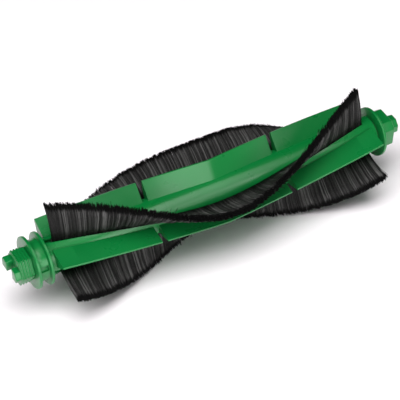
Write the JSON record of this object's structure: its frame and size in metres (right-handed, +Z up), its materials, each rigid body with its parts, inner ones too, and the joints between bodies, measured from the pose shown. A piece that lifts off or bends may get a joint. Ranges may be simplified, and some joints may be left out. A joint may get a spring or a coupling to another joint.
{
  "type": "floor cleaner roller brush",
  "caption": "Roller brush of a wet and dry floor cleaner: V-shaped bristle rows and notched wiper fins on a core, with a pronged drive key at one end and a bearing block at the other.",
  "frame": {"origin": "centre of the end face of the stationary spigot, on the roller's axis", "axes": "+X along the roller's axis, out of the bearing end; +Z up as it lies, -Y the side that faces the viewer"},
  "size_m": [0.1813, 0.0451, 0.0456],
  "materials": {
    "core_green": "satin moulded",
    "fin_green": "satin moulded",
    "end_green": "satin moulded",
    "bristle_black": "nylon filament",
    "strip_black": "extruded strip",
    "bush_black": "moulded",
    "shaft_steel": "ground",
    "bearing_steel": "polished",
    "cage_brass": "pressed",
    "seal_felt": "felt"
  },
  "bodies": {
    "roller": {"core_tube": "core_green", "wiper_fin_1": "fin_green", "bristle_row_1": "bristle_black", "strip_backing_1": "strip_black", "wiper_fin_2": "fin_green", "bristle_row_2": "bristle_black", "strip_backing_2": "strip_black", "wiper_fin_3": "fin_green", "bristle_row_3": "bristle_black", "strip_backing_3": "strip_black", "hair_guard_spool": "end_green", "drive_key": "end_green", "cross_pin": "shaft_steel", "steel_shaft": "shaft_steel", "core_plug": "bush_black", "spacer_washer": "shaft_steel", "retaining_ring": "shaft_steel", "bearing_inner_race": "bearing_steel"},
    "bearing_block": {"bearing_block": "end_green", "bearing_outer_race": "bearing_steel", "bearing_shield_inner": "bearing_steel", "bearing_shield_outer": "bearing_steel", "dust_seal": "seal_felt"},
    "ball_cage": {"ball_cage": "cage_brass", "bearing_ball_1": "bearing_steel", "bearing_ball_2": "bearing_steel", "bearing_ball_3": "bearing_steel", "bearing_ball_4": "bearing_steel", "bearing_ball_5": "bearing_steel", "bearing_ball_6": "bearing_steel", "bearing_ball_7": "bearing_steel", "bearing_ball_8": "bearing_steel"}
  },
  "joints": [
    {"name": "roller_spin", "type": "hinge", "parent": "roller", "child": "bearing_block", "pos_m": [-0.0093, 0, 0], "axis": [1, 0, 0], "continuous": true},
    {"name": "cage_spin", "type": "hinge", "parent": "roller", "child": "ball_cage", "pos_m": [-0.0093, 0, 0], "axis": [1, 0, 0], "continuous": true}
  ],
  "couplings": [
    {"joint": "cage_spin", "follows": "roller_spin", "ratio": 0.5743}
  ]
}
